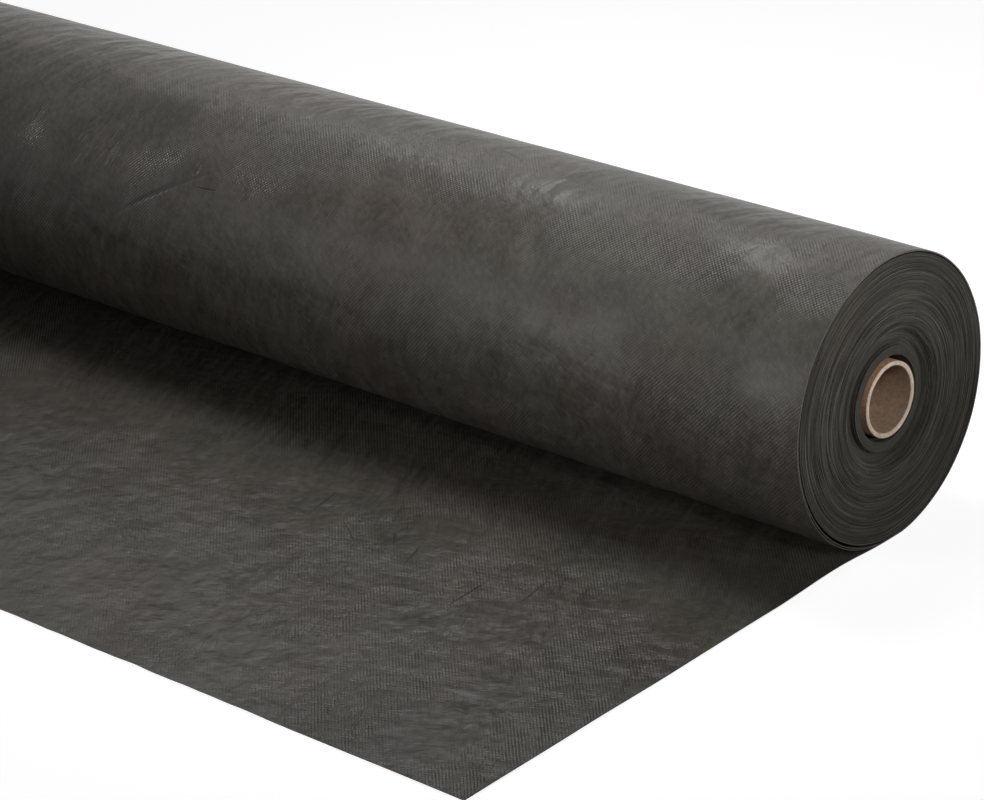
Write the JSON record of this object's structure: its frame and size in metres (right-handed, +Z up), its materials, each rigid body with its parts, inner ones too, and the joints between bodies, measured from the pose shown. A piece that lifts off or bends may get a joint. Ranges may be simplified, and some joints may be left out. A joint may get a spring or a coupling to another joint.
{
  "type": "roll of facade membrane",
  "caption": "Long roll of dark fibrous membrane on a cardboard core, lying on a floor with its free end laid out flat in front.",
  "frame": {"origin": "bottom centre of the whole object, on the floor", "axes": "+X along the roll, towards the end with the dished hub; -Y the way the free end is laid out; +Z up"},
  "size_m": [1.506, 0.575, 0.2195],
  "materials": {
    "membrane": "matt coated nonwoven with a fine linen emboss",
    "cardboard": "matt spiral-wound board",
    "adhesive_tape": "satin"
  },
  "bodies": {
    "laid_end": {"laid_sheet": "membrane"},
    "roll_skin": {"outer_turn": "membrane"},
    "wound_core": {"core_tube": "cardboard", "start_tape": "adhesive_tape", "wound_web": "membrane"}
  },
  "joints": [
    {"name": "roll_out", "type": "slide", "parent": "laid_end", "child": "roll_skin", "axis": [0, 1, 0], "range_m": [-0.3, 0.69], "deforming": ["laid_sheet"]},
    {"name": "roll_turn", "type": "hinge", "parent": "roll_skin", "child": "wound_core", "pos_m": [0, 0.1775, 0.1095], "axis": [1, 0, 0], "range_deg": [-362, 158]}
  ],
  "couplings": [
    {"joint": "roll_turn", "follows": "roll_out", "rad_per_m": -9.0909}
  ]
}
